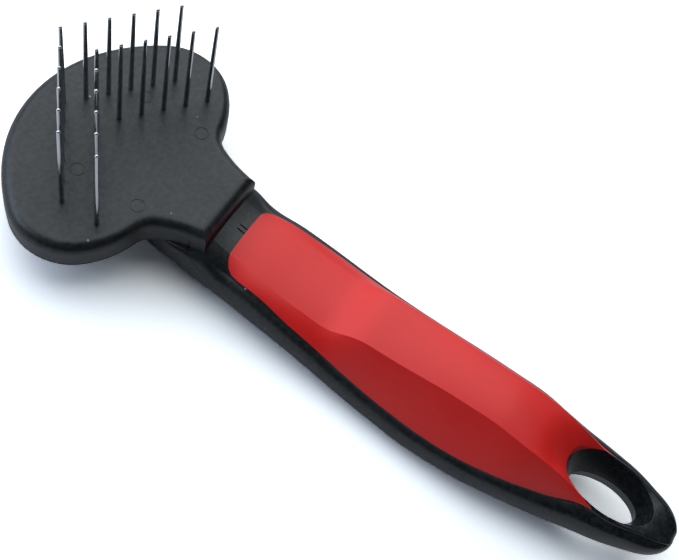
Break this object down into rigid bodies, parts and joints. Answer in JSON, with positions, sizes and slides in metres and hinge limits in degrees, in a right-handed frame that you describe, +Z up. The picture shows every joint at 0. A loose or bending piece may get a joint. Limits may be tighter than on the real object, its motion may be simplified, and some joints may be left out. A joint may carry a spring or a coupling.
{
  "type": "undercoat rake",
  "caption": "Pet grooming rake: crescent head with two V-shaped rows of round-tipped steel pins, on a black handle with a soft red grip and a hanging hole.",
  "frame": {"origin": "middle of the bounding box, on the plane that the rake lies on, back down and pins up", "axes": "+Z up, +Y along the handle towards the head, +X across the head"},
  "size_m": [0.069, 0.19, 0.0472],
  "materials": {
    "black_plastic": "fine moulded grain",
    "soft_grip": "satin soft plastic",
    "pin_steel": "polished"
  },
  "bodies": {
    "root": {"handle_body": "black_plastic", "back_cover": "black_plastic", "grip": "soft_grip", "pin_outer_left_5": "pin_steel", "pin_outer_left_4": "pin_steel", "pin_outer_left_3": "pin_steel", "pin_outer_left_2": "pin_steel", "pin_outer_left_1": "pin_steel", "pin_outer_middle": "pin_steel", "pin_outer_right_1": "pin_steel", "pin_outer_right_2": "pin_steel", "pin_outer_right_3": "pin_steel", "pin_outer_right_4": "pin_steel", "pin_outer_right_5": "pin_steel", "pin_inner_left_5": "pin_steel", "pin_inner_left_4": "pin_steel", "pin_inner_left_3": "pin_steel", "pin_inner_left_2": "pin_steel", "pin_inner_left_1": "pin_steel", "pin_inner_middle": "pin_steel", "pin_inner_right_1": "pin_steel", "pin_inner_right_2": "pin_steel", "pin_inner_right_3": "pin_steel", "pin_inner_right_4": "pin_steel", "pin_inner_right_5": "pin_steel"}
  },
  "joints": []
}
